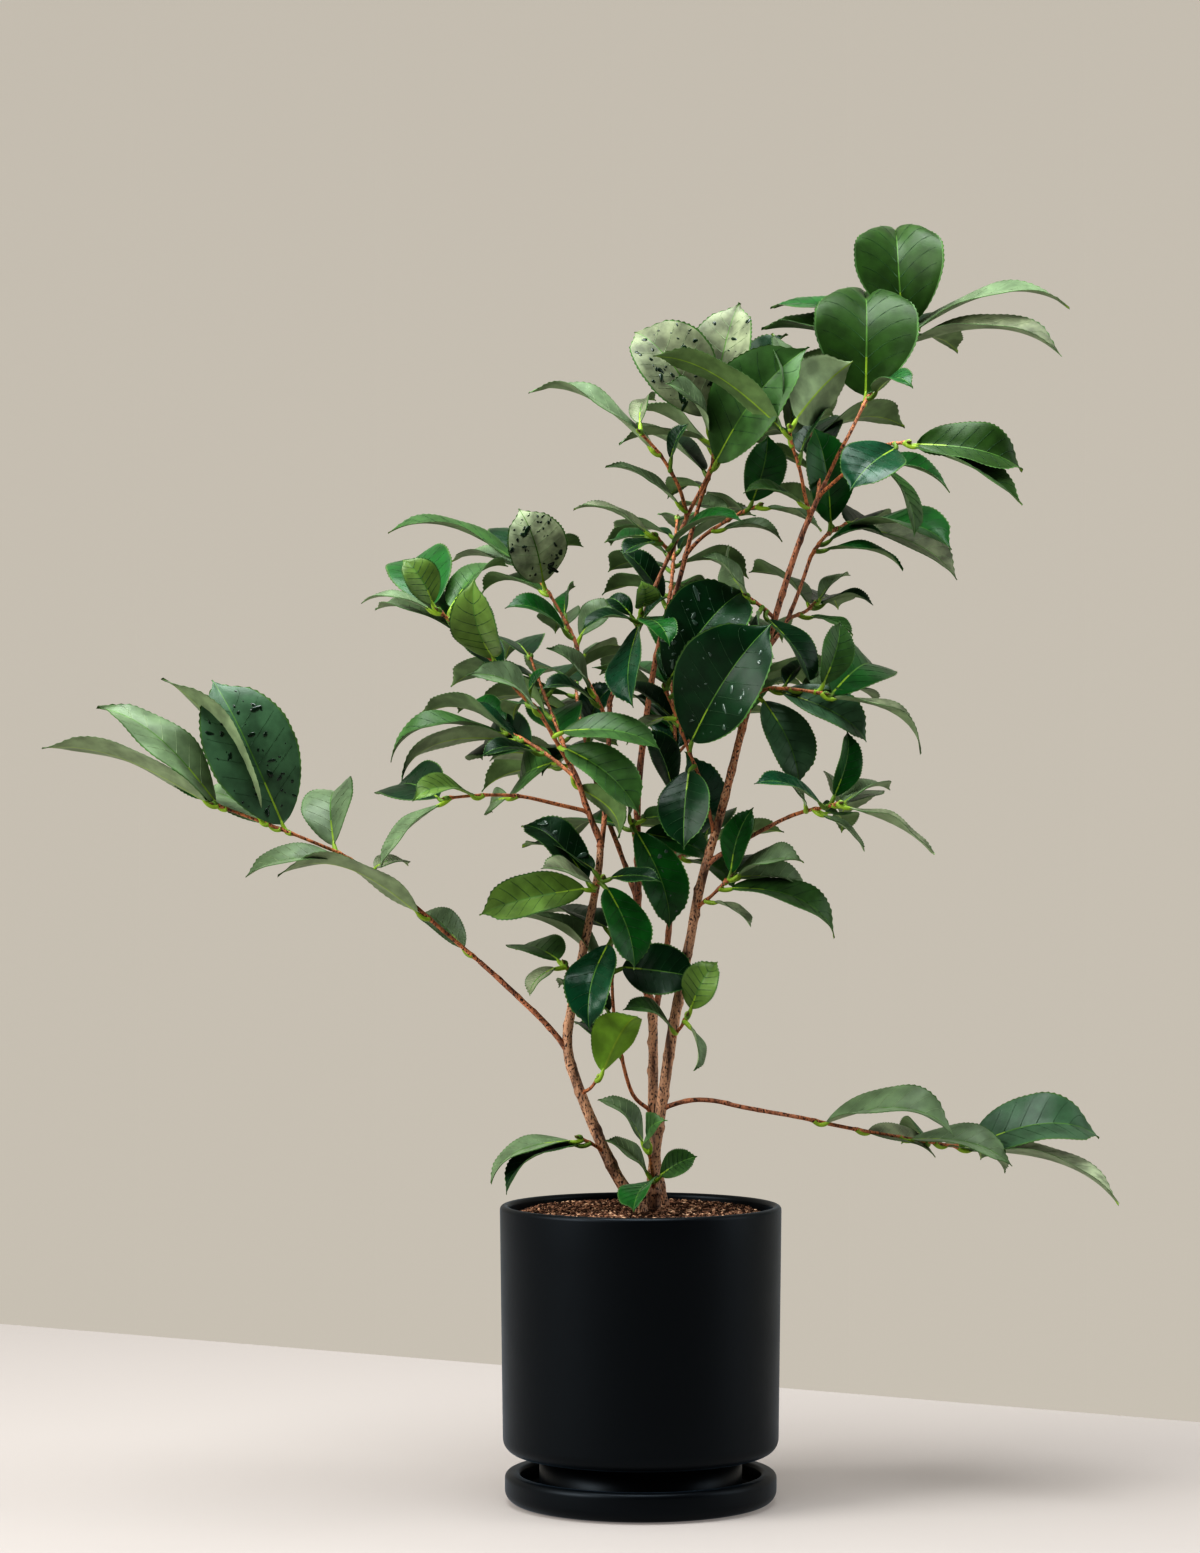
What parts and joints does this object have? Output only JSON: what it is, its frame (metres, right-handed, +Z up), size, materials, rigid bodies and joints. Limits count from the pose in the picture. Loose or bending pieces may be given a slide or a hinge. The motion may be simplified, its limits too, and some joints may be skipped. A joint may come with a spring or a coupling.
{
  "type": "potted camellia shrub",
  "caption": "Open young camellia shrub with slender stems and pointed glossy leaves, in a round straight-sided ceramic pot on its saucer.",
  "frame": {"origin": "centre of the saucer's flat underside, on the ground", "axes": "+Z up; the front, towards which the plant is turned, is -Y; +X to the right of the front"},
  "size_m": [0.7666, 0.3312, 0.9249],
  "materials": {
    "pot": "satin black",
    "saucer": "satin black",
    "soil": "crumbly matte peat",
    "stem": "tan bark with dark specks",
    "bough": "red-brown young bark",
    "leaves": "glossy dark green above, pale and satin below"
  },
  "bodies": {
    "root": {"bough_back": "bough", "bough_back_left": "bough", "bough_centre": "bough", "bough_centre_high": "bough", "bough_left_low": "bough", "bough_middle": "bough", "bough_right_high": "bough", "bough_right_low": "bough", "bough_right_middle": "bough", "bough_upper_left": "bough", "leaves_back_high": "leaves", "leaves_back_left": "leaves", "leaves_back_low": "leaves", "leaves_back_middle": "leaves", "leaves_back_right": "leaves", "leaves_back_top": "leaves", "leaves_back_upper_left": "leaves", "leaves_bend_left": "leaves", "leaves_centre": "leaves", "leaves_centre_high": "leaves", "leaves_centre_left": "leaves", "leaves_centre_right": "leaves", "leaves_core_low": "leaves", "leaves_core_right": "leaves", "leaves_foot_left": "leaves", "leaves_foot_right": "leaves", "leaves_inner": "leaves", "leaves_left_low": "leaves", "leaves_left_side": "leaves", "leaves_middle_left": "leaves", "leaves_middle_left_arm": "leaves", "leaves_middle_right": "leaves", "leaves_pot_front": "leaves", "leaves_pot_left": "leaves", "leaves_right_cluster": "leaves", "leaves_right_high": "leaves", "leaves_right_inner": "leaves", "leaves_right_low": "leaves", "leaves_right_middle": "leaves", "leaves_right_side": "leaves", "leaves_right_upper": "leaves", "leaves_top_back": "leaves", "leaves_top_centre": "leaves", "leaves_top_left": "leaves", "leaves_top_middle": "leaves", "leaves_top_right": "leaves", "leaves_upper_left": "leaves", "pot": "pot", "saucer": "saucer", "soil": "soil", "stem_left": "stem", "stem_middle": "stem", "stem_right": "stem"}
  },
  "joints": []
}
